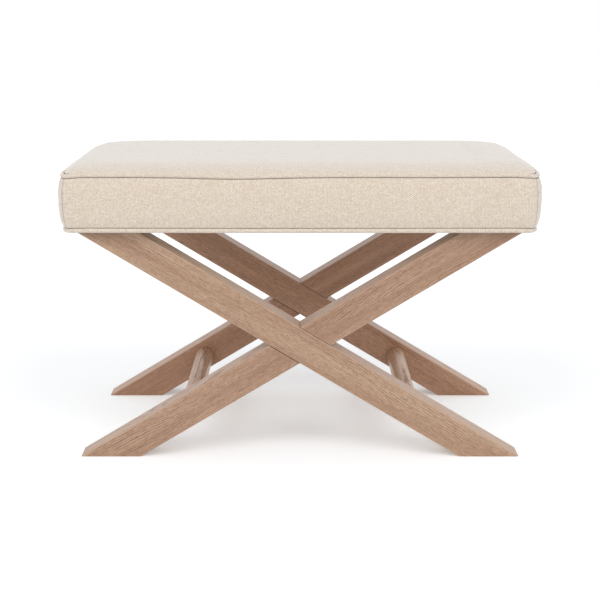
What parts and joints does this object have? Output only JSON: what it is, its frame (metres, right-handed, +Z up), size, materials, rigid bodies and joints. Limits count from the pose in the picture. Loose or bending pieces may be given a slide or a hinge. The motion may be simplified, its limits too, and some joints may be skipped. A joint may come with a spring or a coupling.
{
  "type": "x frame stool",
  "caption": "Upholstered X frame stool: a boxed, piped linen seat bolted to two half-lapped oak crosses joined by round stretchers.",
  "frame": {"origin": "on the floor, under the middle of the seat", "axes": "+X along the seat's length to the right, +Y to the rear, +Z up; the front faces -Y"},
  "size_m": [0.7752, 0.4936, 0.4823],
  "materials": {
    "oak": "light brown oak, straight grain, matt lacquer",
    "linen": "oatmeal plain-weave linen",
    "piping": "the same linen, cut on the bias over a cord",
    "foam": "open-cell upholstery foam",
    "batting": "white polyester wadding",
    "plywood": "sanded birch plywood",
    "cambric": "thin undyed spun cloth",
    "zinc": "bright zinc plate"
  },
  "bodies": {
    "root": {"front_leg_left": "oak", "front_leg_right": "oak", "rear_leg_left": "oak", "rear_leg_right": "oak", "left_stretcher": "oak", "right_stretcher": "oak", "top_panel": "linen", "boxing_front": "linen", "boxing_rear": "linen", "boxing_left": "linen", "boxing_right": "linen", "top_piping": "piping", "bottom_welt": "piping", "seat_deck": "plywood", "foam_block": "foam", "batting": "batting", "dust_cover": "cambric", "seat_bolt_1": "zinc", "bolt_washer_1": "zinc", "tee_nut_1": "zinc", "seat_bolt_2": "zinc", "bolt_washer_2": "zinc", "tee_nut_2": "zinc", "seat_bolt_3": "zinc", "bolt_washer_3": "zinc", "tee_nut_3": "zinc", "seat_bolt_4": "zinc", "bolt_washer_4": "zinc", "tee_nut_4": "zinc", "seat_bolt_5": "zinc", "bolt_washer_5": "zinc", "tee_nut_5": "zinc", "seat_bolt_6": "zinc", "bolt_washer_6": "zinc", "tee_nut_6": "zinc", "seat_bolt_7": "zinc", "bolt_washer_7": "zinc", "tee_nut_7": "zinc", "seat_bolt_8": "zinc", "bolt_washer_8": "zinc", "tee_nut_8": "zinc"}
  },
  "joints": []
}
